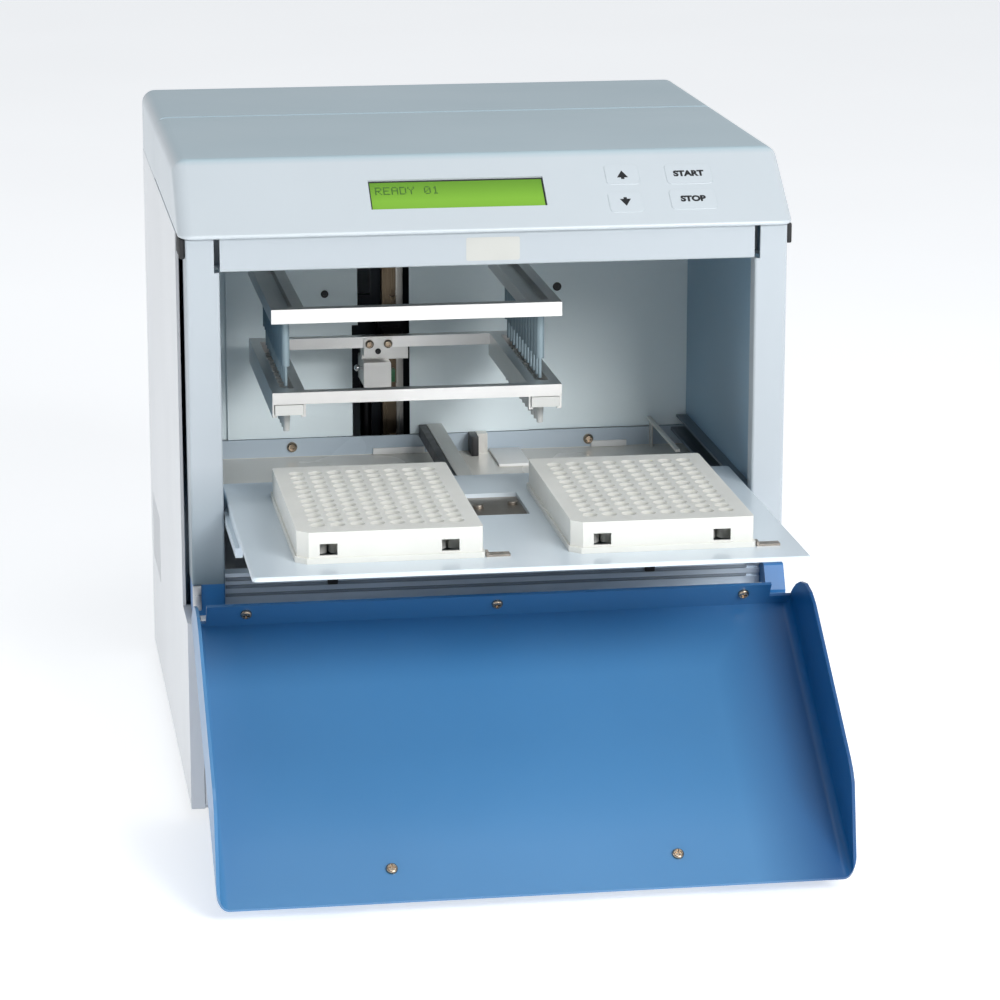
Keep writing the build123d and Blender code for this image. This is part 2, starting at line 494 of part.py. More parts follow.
DX = 104.0
slot = lambda r, y0, y1: cy(-DX, y0, y1, BELT_Z, r) + cy(DX, y0, y1, BELT_Z, r) + box(-DX, DX, y0, y1, BELT_Z - r, BELT_Z + r)
put("x_belt", slot(PUL_R + 0.75, BELT_Y0, BELT_Y1) - slot(PUL_R - 0.45, BELT_Y0 - 1, BELT_Y1 + 1))


def pulley(x):
    p = cy(x, BELT_Y0 - 0.4, BELT_Y1 + 0.4, BELT_Z, PUL_R - 0.8)
    p += cy(x, BELT_Y0 - 1.6, BELT_Y0 - 0.4, BELT_Z, 9.0) + cy(x, BELT_Y1 + 0.4, BELT_Y1 + 1.6, BELT_Z, 9.0)
    return p


dp = pulley(DX) + cy(DX, BELT_Y1 + 1.6, 264.0, BELT_Z, 2.5)
put("x_drive_pulley", dp)
ip = pulley(-DX) - cy(-DX, 240, 260, BELT_Z, 2.56)
put("x_idler_pulley", ip)
ib = box(-FIN, -DX + 8, 256.0, 261.0, BELT_Z - 8, BELT_Z + 8) + box(-FIN, -FIN + 3, 244.0, 261.0, BELT_Z - 12, BELT_Z + 12)
ib += cy(-DX, BELT_Y0 - 2.5, 256.0, BELT_Z, 2.5)
put("x_axis_supports", sup + [ib])
xm_ = box(DX - 21, FIN, 256.0, 259.0, BELT_Z - 21.15, BELT_Z + 21.15)
mbod = rbox(DX - 21, DX + 21, 259.0, 287.0, BELT_Z - 21, BELT_Z + 21, 4.0, Axis.Y)
xmot = xm_ + mbod - cy(DX, 250, 270.0, BELT_Z, 2.56)
put("x_motor", xmot)

# --------------------------------------------------------- electronics at back
pcb = [box(-118, -8, 34, 150, 14.5, 16.1)]
pcb += [cz(x, y, Z_BASE, 14.5, 3.0) for x in (-112, -14) for y in (40, 144)]
pcb += [box(-96, -72, 60, 84, 16.1, 18.5), box(-60, -48, 60, 92, 16.1, 19.5), cz(-30, 60, 16.1, 34, 7.5), cz(-30, 80, 16.1, 34, 7.5),
        box(-104, -40, 132, 140, 16.1, 26.0), box(-100, -60, 100, 112, 16.1, 40.0)]
put("main_board", pcb)
psu = rbox(4, 124, 204, 264, Z_BASE, 46.0, 1.5)
psu -= [box(12 + i * 9, 16 + i * 9, 210, 258, 44.0, 50) for i in range(12)]
put("power_supply", psu)

fh = rbox(FAN_X - 30, FAN_X + 30, 270.5, Y_BACK - TS, FAN_Z - 30, FAN_Z + 30, 3.0, Axis.Y)
fh -= cy(FAN_X, 260, 300, FAN_Z, 28.6)
fh += box(FAN_X - 30, FAN_X + 30, 270.5, 272.5, FAN_Z - 2, FAN_Z + 2) + box(FAN_X - 2, FAN_X + 2, 270.5, 272.5, FAN_Z - 30, FAN_Z + 30)
fh += cy(FAN_X, 270.5, 272.5, FAN_Z, 12.0) + cy(FAN_X, 272.5, 280.0, FAN_Z, 1.5)
put("fan_housing", fh)
fr = cy(FAN_X, 273.2, 288.5, FAN_Z, 12.5) - cy(FAN_X, 270, 281.0, FAN_Z, 1.56)
for i in range(7):
    bl = Pos(0, 281, 0) * Rot(0, 0, 0) * (Pos(19.2, 0, 0) * Rot(35, 0, 0) * Box(16.0, 13.0, 1.2))
    fr += Pos(FAN_X, 0, FAN_Z) * Rot(0, i * 360.0 / 7, 0) * bl
put("fan_rotor", fr)

inl = box(INL_X - 13.8, INL_X + 13.8, 270, Y_BACK, INL_Z - 10.0, INL_Z + 10.0)
inl += rbox(INL_X - 24.5, INL_X + 24.5, Y_BACK, Y_BACK + 2.0, INL_Z - 11.5, INL_Z + 11.5, 3.0, Axis.Y)
inl -= box(INL_X - 12.2, INL_X + 12.2, 276, 300, INL_Z - 8.2, INL_Z + 8.2)
inl += [box(INL_X + dx - 1.0, INL_X + dx + 1.0, 275, 290, INL_Z + dz - 2.0, INL_Z + dz + 2.0) for dx, dz in ((-7, -2), (0, 2), (7, -2))]
put("mains_inlet", inl)
sw = box(SW_X - 6.5, SW_X + 6.5, 276, Y_BACK, SW_Z - 9.7, SW_Z + 9.7)
sw += rbox(SW_X - 8.2, SW_X + 8.2, Y_BACK, Y_BACK + 1.4, SW_Z - 11.5, SW_Z + 11.5, 1.0, Axis.Y)
sw -= box(SW_X - 5.4, SW_X + 5.4, 283, 300, SW_Z - 8.8, SW_Z + 8.8)
RK_Y = 290.0
rk = yz([(RK_Y - 3, SW_Z - 8.0), (RK_Y - 3, SW_Z + 7.8), (RK_Y + 3.4, SW_Z + 7.2), (RK_Y + 1.6, SW_Z), (RK_Y + 1.0, SW_Z - 8.2)], SW_X - 5.0, SW_X + 5.0)
rk -= cx(SW_X - 20, SW_X + 20, RK_Y - 1, SW_Z, 1.06)
put("switch_rocker", rk)
put("switch_housing", sw + cx(SW_X - 5.6, SW_X + 5.6, RK_Y - 1, SW_Z, 1.0))
ser = box(SER_X - 9.4, SER_X + 9.4, 279, Y_BACK, SER_Z - 5.0, SER_Z + 5.0)
ser += rbox(SER_X - 15.5, SER_X + 15.5, Y_BACK, Y_BACK + 1.0, SER_Z - 6.2, SER_Z + 6.2, 1.0, Axis.Y)
ser += box(SER_X - 8.2, SER_X + 8.2, Y_BACK + 1.0, Y_BACK + 2.0, SER_Z - 4.0, SER_Z + 4.0)
ser -= box(SER_X - 7.4, SER_X + 7.4, 286, 300, SER_Z - 3.2, SER_Z + 3.2)
put("serial_port", ser)

cs = []
for x in (-138, 0, 138):
    for z in (14.5, 274.0):
        h = fillet(cy(x, Y_BACK, Y_BACK + 1.6, z, 2.9).edges().sort_by(Axis.Y)[-1], 0.9)
        h -= box(x - 0.4, x + 0.4, Y_BACK + 0.9, Y_BACK + 5, z - 1.7, z + 1.7) + box(x - 1.7, x + 1.7, Y_BACK + 0.9, Y_BACK + 5, z - 0.4, z + 0.4)
        cs.append(h)
put("casing_screws", cs)

# ----------------------------------------------------------------- print sizes
lo = [1e9] * 3
hi = [-1e9] * 3
for n, ss in PARTS.items():
    for s in ss:
        b = s.bounding_box()
        for i, (a, c) in enumerate(zip((b.min.X, b.min.Y, b.min.Z), (b.max.X, b.max.Y, b.max.Z))):
            lo[i] = min(lo[i], a)
            hi[i] = max(hi[i], c)
print("nodes", len(PARTS), "box", [round(v, 2) for v in lo], [round(v, 2) for v in hi])
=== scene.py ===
import math
import random

import bmesh
import bpy
from mathutils import Euler, Matrix, Vector


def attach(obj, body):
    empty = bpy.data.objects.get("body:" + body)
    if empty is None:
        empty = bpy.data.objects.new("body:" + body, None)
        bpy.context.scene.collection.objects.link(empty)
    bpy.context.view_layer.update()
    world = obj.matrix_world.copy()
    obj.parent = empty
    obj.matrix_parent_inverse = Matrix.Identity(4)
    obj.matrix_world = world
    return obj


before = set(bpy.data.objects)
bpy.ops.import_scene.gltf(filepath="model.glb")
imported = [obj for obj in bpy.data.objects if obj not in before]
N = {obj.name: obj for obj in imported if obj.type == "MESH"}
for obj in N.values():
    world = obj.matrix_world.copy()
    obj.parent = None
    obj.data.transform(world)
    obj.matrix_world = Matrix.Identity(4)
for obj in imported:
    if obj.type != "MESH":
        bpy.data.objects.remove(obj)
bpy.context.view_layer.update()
MM = 0.001
YC = -70.565

# ------------------------------------------------------------------ materials


class Mat:
    """A node material with helpers for procedural layers, in object coordinates (metres)."""

    def __init__(self, name, color, rough=0.5, metal=0.0, **kw):
        self.m = bpy.data.materials.new(name)
        self.m.use_nodes = True
        self.t = self.m.node_tree
        self.n = self.t.nodes
        self.l = self.t.links
        self.b = self.n["Principled BSDF"]
        self.b.inputs["Base Color"].default_value = (*color, 1.0)
        self.b.inputs["Roughness"].default_value = rough
        self.b.inputs["Metallic"].default_value = metal
        for k, v in kw.items():
            self.b.inputs[k].default_value = v
        self.color = color
        self.tc = self.n.new("ShaderNodeTexCoord")
        self.co = self.tc.outputs["Object"]
        self.last_color = None
        self.last_rough = None
        self.height = None

    def mapping(self, scale=(1, 1, 1), rot=(0, 0, 0)):
        mp = self.n.new("ShaderNodeMapping")
        mp.inputs["Scale"].default_value = scale
        mp.inputs["Rotation"].default_value = rot
        self.l.new(self.co, mp.inputs["Vector"])
        return mp.outputs["Vector"]

    def noise(self, scale, detail=2.0, rough=0.5, vec=None):
        t = self.n.new("ShaderNodeTexNoise")
        t.inputs["Scale"].default_value = scale
        t.inputs["Detail"].default_value = detail
        t.inputs["Roughness"].default_value = rough
        self.l.new(vec if vec is not None else self.co, t.inputs["Vector"])
        return t.outputs["Fac"]

    def ramp(self, fac, stops):
        r = self.n.new("ShaderNodeValToRGB")
        e = r.color_ramp.elements
        while len(e) > 1:
            e.remove(e[-1])
        e[0].position = stops[0][0]
        e[0].color = stops[0][1]
        for p, c in stops[1:]:
            x = e.new(p)
            x.color = c
        self.l.new(fac, r.inputs["Fac"])
        return r.outputs["Color"]

    def mrange(self, fac, a, b, c, d, clamp=True):
        r = self.n.new("ShaderNodeMapRange")
        r.clamp = clamp
        for i, v in enumerate((a, b, c, d)):
            r.inputs[i + 1].default_value = v
        self.l.new(fac, r.inputs[0])
        return r.outputs[0]

    def math(self, op, a, b=None):
        r = self.n.new("ShaderNodeMath")
        r.operation = op
        for i, v in enumerate((a, b)):
            if v is None:
                continue
            if isinstance(v, (int, float)):
                r.inputs[i].default_value = v
            else:
                self.l.new(v, r.inputs[i])
        return r.outputs[0]

    def mix(self, fac, a, b, blend="MIX"):
        r = self.n.new("ShaderNodeMix")
        r.data_type = "RGBA"
        r.blend_type = blend
        if isinstance(fac, (int, float)):
            r.inputs[0].default_value = fac
        else:
            self.l.new(fac, r.inputs[0])
        for i, v in ((6, a), (7, b)):
            if isinstance(v, (tuple, list)):
                r.inputs[i].default_value = (*v, 1.0) if len(v) == 3 else v
            else:
                self.l.new(v, r.inputs[i])
        return r.outputs[2]

    def set_color(self, c):
        self.l.new(c, self.b.inputs["Base Color"])
        return self

    def set_rough(self, c):
        self.l.new(c, self.b.inputs["Roughness"])
        return self

    def bump(self, h, strength=0.2, dist=0.0002, prev=None):
        b = self.n.new("ShaderNodeBump")
        b.inputs["Strength"].default_value = strength
        b.inputs["Distance"].default_value = dist
        self.l.new(h, b.inputs["Height"])
        if prev is not None:
            self.l.new(prev, b.inputs["Normal"])
        self.l.new(b.outputs["Normal"], self.b.inputs["Normal"])
        return b.outputs["Normal"]

    def sep(self):
        s = self.n.new("ShaderNodeSeparateXYZ")
        self.l.new(self.co, s.inputs[0])
        return s.outputs


def srgb(r, g, b):
    def f(v):
        v /= 255.0
        return v / 12.92 if v <= 0.04045 else ((v + 0.055) / 1.055) ** 2.4
    return (f(r), f(g), f(b))


def tint(c, k):
    return tuple(min(1.0, v * k) for v in c)


def powder(name, color, rough=0.42, grain=900, depth=0.22, var=0.03, **kw):
    """Powder coat: fine orange peel, faint cloudy variation, slightly uneven gloss."""
    m = Mat(name, color, rough, **kw)
    big = m.noise(9.0, 3.0)
    small = m.noise(grain, 2.0)
    m.set_color(m.mix(m.mrange(big, 0.3, 0.7, 0.0, 1.0), tint(color, 1 - var), tint(color, 1 + var)))
    m.set_rough(m.mrange(m.noise(14.0, 2.0), 0.3, 0.7, rough - 0.02, rough + 0.03))
    m.bump(small, depth * 0.45, 0.00008)
    return m


def metal(name, color, rough=0.3, axis=0, streak=0.12, **kw):
    """Machined or ground metal with fine streaks along one axis."""
    m = Mat(name, color, rough, 1.0, **kw)
    sc = [1400.0, 1400.0, 1400.0]
    sc[axis] = 14.0
    v = m.mapping(tuple(sc))
    s = m.noise(1.0, 3.0, 0.6, v)
    m.set_rough(m.mrange(s, 0.25, 0.75, rough - streak * 0.6, rough + streak))
    cl = m.noise(22.0, 3.0)
    m.set_color(m.mix(m.mrange(cl, 0.3, 0.7, 0, 1), tint(color, 0.93), tint(color, 1.04)))
    m.bump(s, 0.10, 0.00005)
    return m


def plastic(name, color, rough=0.4, grain=1400, depth=0.12, var=0.03, **kw):
    m = Mat(name, color, rough, **kw)
    m.set_color(m.mix(m.mrange(m.noise(30.0, 2.0), 0.3, 0.7, 0, 1), tint(color, 1 - var), tint(color, 1 + var)))
    m.set_rough(m.mrange(m.noise(140.0, 2.0), 0.3, 0.7, rough - 0.04, rough + 0.06))
    m.bump(m.noise(grain, 2.0), depth, 0.00006)
    return m


SIDE = powder("side powder coat", srgb(221, 223, 225), 0.45)
HOOD = powder("hood powder coat", srgb(210, 219, 225), 0.34, var=0.015, **{"Coat Weight": 0.15, "Coat Roughness": 0.25})
# painted shade: the flat top is coloured darker than the sloped fascia, standing in for the weaker light that falls on
# it
hs = HOOD.sep()
painted_top_shade = HOOD.mrange(hs[2], 0.3122, 0.3146, 0.0, 1.0)
hc = HOOD.mrange(HOOD.noise(9.0, 3.0), 0.3, 0.7, 0.0, 1.0)
HOOD.set_color(HOOD.mix(painted_top_shade, HOOD.mix(hc, srgb(192, 200, 205), srgb(195, 203, 208)), HOOD.mix(hc, srgb(169, 189, 197), srgb(173, 193, 201))))
COLUMN = powder("column powder coat", srgb(178, 187, 193), 0.38, var=0.02)
# the foot of the left column sits in the shade of the fold of the door
cx, cy, cz = COLUMN.sep()
shade = COLUMN.math("MULTIPLY", COLUMN.mrange(cz, 0.175, 0.118, 0.0, 1.0), COLUMN.mrange(cx, 0.0, -0.02, 0.0, 1.0))
COLUMN.set_color(COLUMN.mix(shade, srgb(174, 182, 188), srgb(92, 111, 122)))
# painted shade: the chamber side walls get a darker copy of the chamber paint, standing in for the shade they lie in
INNER = powder("chamber side paint darkened as shade", srgb(136, 171, 196), 0.36, var=0.04)
WALL = powder("chamber paint", srgb(238, 250, 254), 0.36, var=0.03)
SHIELD = powder("shield paint", srgb(238, 250, 254), 0.34, var=0.03)
DOOR = powder("door paint", srgb(58, 121, 171), 0.34, var=0.012, **{"Coat Weight": 0.25, "Coat Roughness": 0.28})
# painted shade: darker colour in the fold at the hinge and inside the right-hand cheek
dx, dy, dz = DOOR.sep()
fold = DOOR.math("MAXIMUM", DOOR.mrange(dy, -0.120, -0.070, 0.0, 1.0), DOOR.mrange(dx, 0.100, 0.1375, 0.0, 1.0))
DOOR.set_color(DOOR.mix(fold, DOOR.mix(DOOR.mrange(DOOR.noise(9.0, 3.0), 0.3, 0.7, 0.0, 1.0), srgb(64, 121, 168), srgb(68, 125, 172)), srgb(0, 72, 124)))
HINGE_BLOCK = powder("hinge block paint", srgb(40, 106, 164), 0.34, var=0.02)
TRAY = powder("tray satin coat", srgb(206, 218, 226), 0.30, grain=1500, depth=0.10, var=0.02, **{"Coat Weight": 0.3, "Coat Roughness": 0.18})
ALU = metal("machined aluminium", srgb(226, 225, 223), 0.34, axis=0, streak=0.08)
ALUY = metal("machined aluminium along y", srgb(222, 220, 216), 0.32, axis=1, streak=0.08)
ALUZ = metal("machined aluminium along z", srgb(214, 216, 217), 0.28, axis=2, streak=0.08)
# painted shade: the x carriage, inside the head behind the slot, is coloured near black
DARK_ALU = metal("aluminium darkened as shade", srgb(40, 43, 47), 0.42, axis=2, streak=0.06)
STEEL = metal("ground steel", srgb(188, 190, 192), 0.30, axis=0)
DULL = metal("dull steel", srgb(160, 152, 143), 0.40, axis=0)
# painted reflection: the rod steel is tinted blue-grey, standing in for the chamber it reflects
ROD = metal("rod steel", srgb(138, 156, 164), 0.5, axis=2, streak=0.05)
ROD.b.inputs["Metallic"].default_value = 0.3
SCREW = metal("plated screw", srgb(178, 160, 140), 0.24, axis=2, streak=0.05)
CHROME = metal("polished steel", srgb(205, 206, 208), 0.14, axis=2, streak=0.05)
ZINC = metal("zinc plate", srgb(180, 184, 188), 0.38, axis=0)
PLATE = plastic("plate polypropylene", srgb(222, 222, 216), 0.38, **{"Subsurface Weight": 0.3, "Subsurface Radius": (0.002, 0.002, 0.0018), "Subsurface Scale": 1.0})
TIPS = plastic("tip comb polypropylene", srgb(206, 207, 204), 0.36, **{"Subsurface Weight": 0.2, "Subsurface Radius": (0.002, 0.002, 0.002)})
RUBBER = plastic("rubber", srgb(34, 34, 35), 0.7, 900, 0.3)
BLACK = plastic("black plastic", srgb(30, 30, 32), 0.42, 1200, 0.25)
WHITE = plastic("white plastic", srgb(244, 244, 242), 0.4)
INK = plastic("black ink", srgb(22, 23, 26), 0.5)
LCD_INK = plastic("display segments", srgb(52, 92, 30), 0.5)
MOTOR = powder("black coat", srgb(34, 34, 37), 0.4)
BOARD = plastic("solder mask", srgb(24, 92, 52), 0.3, 700, 0.2)
LABEL = plastic("label film", srgb(189, 190, 185), 0.42, 600, 0.15)
KEY = powder("key cap coat", srgb(194, 202, 207), 0.36, var=0.015)
LENS = Mat("display window", srgb(120, 172, 58), 0.10, **{"Coat Weight": 0.5, "Coat Roughness": 0.05})
# painted shade: the display window is coloured darker towards its top, under the rim of its recess
lz = LENS.sep()[2]
LENS.set_color(LENS.mix(LENS.mrange(lz, 0.2965, 0.3045, 0.0, 1.0), srgb(126, 178, 56), srgb(92, 140, 38)))
LENS.bump(LENS.noise(420.0, 2.0), 0.02, 0.00005)

SILL = metal("sill extrusion", srgb(196, 208, 220), 0.38, axis=0, streak=0.06)
SILL.b.inputs["Metallic"].default_value = 0.5
GASKET = plastic("grey gasket", srgb(120, 130, 140), 0.6, 900, 0.25)

# brackets of the head: bright in front of the slot; behind it, in the shaded head, painted shade colours them black
BRACKET = metal("bracket aluminium", srgb(208, 207, 204), 0.34, axis=0, streak=0.08)
by = BRACKET.sep()[1]
behind = BRACKET.math("GREATER_THAN", by, 0.1072)
BRACKET.set_color(BRACKET.mix(behind, BRACKET.mix(BRACKET.mrange(BRACKET.noise(22.0, 3.0), 0.3, 0.7, 0, 1), srgb(200, 199, 196), srgb(214, 213, 210)), srgb(30, 30, 32)))

# guide rail: oiled steel; the bright strip along one edge is a painted highlight
RAILZ = metal("guide rail", srgb(196, 194, 188), 0.28, axis=2, streak=0.08)
rx = RAILZ.sep()[0]
painted_highlight_strip = RAILZ.mrange(rx, -0.0202, -0.0196, 0.0, 1.0)
RAILZ.set_color(RAILZ.mix(painted_highlight_strip, RAILZ.mix(RAILZ.mrange(RAILZ.noise(40.0, 3.0), 0.3, 0.7, 0, 1), srgb(92, 80, 66), srgb(112, 100, 84)), srgb(206, 204, 198)))

# runners: bright in the middle of the chamber; at its sides, where they lie in shade, painted shade colours them dark
RUNNER = metal("runner aluminium", srgb(222, 220, 214), 0.34, axis=1, streak=0.08)
RUNNER.b.inputs["Metallic"].default_value = 0.4
ux = RUNNER.math("ABSOLUTE", RUNNER.sep()[0])
side = RUNNER.math("GREATER_THAN", ux, 0.120)
RUNNER.set_color(RUNNER.mix(side, RUNNER.mix(RUNNER.mrange(RUNNER.noise(22.0, 3.0), 0.3, 0.7, 0, 1), srgb(214, 212, 206), srgb(226, 224, 218)), srgb(84, 98, 110)))

# the rear shelf of the chamber is painted, with a bare metal strip behind
MEMBER = powder("cross member paint", srgb(166, 184, 198), 0.26, var=0.04)
sx, sy, sz = MEMBER.sep()
strip = MEMBER.math("LESS_THAN", sz, 0.1354)
MEMBER.set_color(MEMBER.mix(strip, MEMBER.mix(MEMBER.mrange(MEMBER.noise(9.0, 3.0), 0.3, 0.7, 0, 1), srgb(186, 200, 211), srgb(192, 206, 217)), srgb(226, 223, 215)))

ASSIGN = {
    "base_plate": ZINC, "rubber_feet": RUBBER, "side_panel_left": SIDE, "side_panel_right": SIDE, "lower_front_panel": SIDE,
    "rear_panel": SIDE, "front_hood": HOOD, "rear_top_cover": HOOD, "display_window": LENS, "display_module": BOARD, "keypad_board": BOARD,
    "column_left": COLUMN, "column_right": COLUMN, "header_rail": COLUMN, "inner_frame_left": INNER, "inner_frame_right": INNER,
    "chamber_back_wall": WALL, "rear_cross_member": MEMBER, "front_sill": SILL, "hinge_blocks": HINGE_BLOCK, "tray_rails": RUNNER,
    "tray_plate": TRAY, "tray_fittings": DULL, "microplate_left": PLATE, "microplate_right": PLATE, "door_panel": DOOR,
    "hinge_leaf_door": STEEL, "hinge_leaf_fixed": STEEL, "hinge_pin": STEEL, "door_screws": SCREW, "door_pull": ALU,
    "comb_frame": ALU, "tip_combs": TIPS, "comb_bracket": BRACKET, "magnet_frame": ALU, "magnet_rods": ROD, "magnet_bracket": BRACKET,
    "z_rail": RAILZ, "x_carriage": DARK_ALU, "z_actuators": MOTOR, "shield_plate": SHIELD, "x_guide_rods": CHROME, "x_axis_supports": ALU,
    "x_belt": RUBBER, "x_drive_pulley": ALU, "x_idler_pulley": ALU, "x_motor": MOTOR, "main_board": BOARD, "power_supply": ZINC,
    "fan_housing": BLACK, "fan_rotor": BLACK, "mains_inlet": BLACK, "switch_housing": BLACK, "switch_rocker": BLACK,
    "serial_port": ZINC, "casing_screws": SCREW, "key_up": KEY, "key_down": KEY, "key_start": KEY, "key_stop": KEY,
}
for node, mat in ASSIGN.items():
    o = N[node]
    o.data.materials.clear()
    o.data.materials.append(mat.m)

# ------------------------------------------------------------------ detail pieces
BZ_Y0, Z_SEAM = -5.5, 283.2
SL = math.hypot(45.0, 31.8)
VY, VZ = 45.0 / SL, 31.8 / SL
NY, NZ = -VZ, VY
BEZEL = Matrix(((1, 0, 0, 0), (0, VY, NY, (BZ_Y0 + YC) * MM), (0, VZ, NZ, Z_SEAM * MM), (0, 0, 0, 1)))


def add(name, bm, mat, body, matrix=None, smooth=None):
    bmesh.ops.recalc_face_normals(bm, faces=bm.faces)
    me = bpy.data.meshes.new(name)
    bm.to_mesh(me)
    bm.free()
    if matrix is not None:
        me.transform(matrix)
    me.materials.append(mat.m)
    o = bpy.data.objects.new(name, me)
    bpy.context.scene.collection.objects.link(o)
    if smooth:
        for p in me.polygons:
            p.use_smooth = True
        o.modifiers.new("edges", "EDGE_SPLIT").split_angle = math.radians(smooth)
    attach(o, body)
    return o


def block(bm, x0, x1, y0, y1, z0, z1, r=0.0, segs=2):
    """Rounded block, mm, in working coordinates (y gets YC)."""
    b = bmesh.new()
    bmesh.ops.create_cube(b, size=1.0)
    for v in b.verts:
        v.co = Vector(((x0 + x1) / 2 + v.co.x * (x1 - x0), (y0 + y1) / 2 + v.co.y * (y1 - y0), (z0 + z1) / 2 + v.co.z * (z1 - z0))) * MM
    if r:
        bmesh.ops.bevel(b, geom=b.edges[:], offset=r * MM, segments=segs, profile=0.5, affect="EDGES", clamp_overlap=True)
    me = bpy.data.meshes.new("t")
    b.to_mesh(me)
    b.free()
    bm.from_mesh(me)
    bpy.data.meshes.remove(me)


SHIFT = Matrix.Translation((0, YC * MM, 0))


def prism(bm, pts, z0, z1):
    """Flat plate with an outline in mm, between z0 and z1."""
    lo = [bm.verts.new((x * MM, y * MM, z0 * MM)) for x, y in pts]
    hi = [bm.verts.new((x * MM, y * MM, z1 * MM)) for x, y in pts]
    bm.faces.new(lo[::-1])
    bm.faces.new(hi)
    n = len(pts)
    for k in range(n):
        bm.faces.new((lo[k], lo[(k + 1) % n], hi[(k + 1) % n], hi[k]))


def screw(bm, at, axis, r, h, socket=0.45, segs=28):
    """Button head screw with a round socket; at is the seat, mm, y before YC."""
    prof = [(0.0, h * 0.45), (r * socket * 0.96, h * 0.45), (r * socket, h * 0.96), (r * 0.66, h), (r * 0.86, h * 0.82), (r, h * 0.42), (r, 0.0), (0.0, 0.0)]
    z = Vector(axis).normalized()
    q = z.to_track_quat("Z", "Y").to_matrix().to_4x4()
    m = Matrix.Translation(Vector((at[0], at[1] + YC, at[2])) * MM) @ q
    rings = []
    for rr, hh in prof:
        if rr == 0.0:
            rings.append([bm.verts.new(m @ Vector((0, 0, hh * MM)))])
        else:
            rings.append([bm.verts.new(m @ Vector((rr * MM * math.cos(2 * math.pi * k / segs), rr * MM * math.sin(2 * math.pi * k / segs), hh * MM))) for k in range(segs)])
    for a, b in zip(rings, rings[1:]):
        for k in range(segs):
            k2 = (k + 1) % segs
            if len(a) == 1:
                bm.faces.new((a[0], b[k], b[k2]))
            elif len(b) == 1:
                bm.faces.new((a[k], b[0], a[k2]))
            else:
                bm.faces.new((a[k], b[k], b[k2], a[k2]))


def lettering(name, text, size, u, v, w, mat, body, bold=0.0):
    cu = bpy.data.curves.new(name, "FONT")
    cu.body = text
    cu.size = size * MM
    cu.align_x = "CENTER"
    cu.align_y = "CENTER"
    cu.extrude = 0.03 * MM
    cu.offset = bold * MM
    cu.resolution_u = 6
    t = bpy.data.objects.new(name, cu)
    bpy.context.scene.collection.objects.link(t)
    bpy.context.view_layer.update()
    me = bpy.data.meshes.new_from_object(t.evaluated_get(bpy.context.evaluated_depsgraph_get()))
    bpy.data.objects.remove(t)
    b = bmesh.new()
    b.from_mesh(me)
    bmesh.ops.remove_doubles(b, verts=b.verts, dist=1e-6)
    bpy.data.meshes.remove(me)
    return add(name, b, mat, body, BEZEL @ Matrix.Translation((u * MM, v * MM, w * MM)))


# soft seals that close the gaps around the four keys
def outline(cu, cv, hw, hh, r, n=6):
    pts = []
    for sx, sy, a0 in ((1, 1, 0), (-1, 1, 90), (-1, -1, 180), (1, -1, 270)):
        for k in range(n + 1):
            a = math.radians(a0 + 90.0 * k / n)
            pts.append((cu + sx * (hw - r) + r * math.cos(a), cv + sy * (hh - r) + r * math.sin(a)))
    return pts


b = bmesh.new()
for cu, cv, hw, hh in ((67.6, 37.4, 8.0, 6.5), (66.8, 18.6, 8.0, 6.5), (100.0, 36.8, 11.0, 6.5), (99.6, 19.6, 11.0, 6.5)):
    rows = []
    for grow, w in ((0.02, -0.7), (0.29, -0.7), (0.29, 0.02), (0.15, 0.12), (0.02, 0.08)):
        rows.append([b.verts.new((x * MM, y * MM, w * MM)) for x, y in outline(cu, cv, hw + grow, hh + grow, 2.0 + grow)])
    m = len(rows[0])
    for k in range(len(rows)):
        p, q = rows[k], rows[(k + 1) % len(rows)]
        for j in range(m):
            b.faces.new((p[j], p[(j + 1) % m], q[(j + 1) % m], q[j]))
add("key_seals", b, KEY, "chassis", BEZEL)

# key marks
KW = 0.25
b = bmesh.new()
prism(b, [(64.9, 35.3), (70.3, 35.3), (67.6, 40.0)], KW - 0.01, KW + 0.05)
prism(b, [(66.8, 34.2), (68.4, 34.2), (68.4, 35.3), (66.8, 35.3)], KW - 0.01, KW + 0.05)
add("mark_up", b, INK, "up_key", BEZEL)
b = bmesh.new()
prism(b, [(64.1, 20.7), (66.8, 16.0), (69.5, 20.7)], KW - 0.01, KW + 0.05)
prism(b, [(66.0, 20.7), (67.6, 20.7), (67.6, 21.8), (66.0, 21.8)], KW - 0.01, KW + 0.05)
add("mark_down", b, INK, "down_key", BEZEL)
lettering("mark_start", "START", 5.0, 100.0, 36.9, KW + 0.02, INK, "start_key", 0.28)
lettering("mark_stop", "STOP", 5.0, 99.6, 19.7, KW + 0.02, INK, "stop_key", 0.28)

# characters of the display: dots of a common 5 by 7 matrix
GLYPH = {
    "R": ("11110", "10001", "10001", "11110", "10100", "10010", "10001"),
    "E": ("11111", "10000", "10000", "11110", "10000", "10000", "11111"),
    "A": ("01110", "10001", "10001", "11111", "10001", "10001", "10001"),
    "D": ("11110", "10001", "10001", "10001", "10001", "10001", "11110"),
    "Y": ("10001", "10001", "01010", "00100", "00100", "00100", "00100"),
    "0": ("01110", "10001", "10011", "10101", "11001", "10001", "01110"),
    "1": ("00100", "01100", "00100", "00100", "00100", "00100", "01110"),
}
b = bmesh.new()
cell, dot = 0.70, 0.62
for n, ch in enumerate("READY 01"):
    if ch == " ":
        continue
    u0 = -52.0 + n * 3.9
    for r, row in enumerate(GLYPH[ch]):
        for c, on in enumerate(row):
            if on == "1":
                u = u0 + c * cell * 0.92
                v = 33.8 - r * cell * 1.05
                prism(b, [(u, v - dot), (u + dot * 0.92, v - dot), (u + dot * 0.92, v), (u, v)], -1.11, -1.06)
add("display_characters", b, LCD_INK, "chassis", BEZEL)

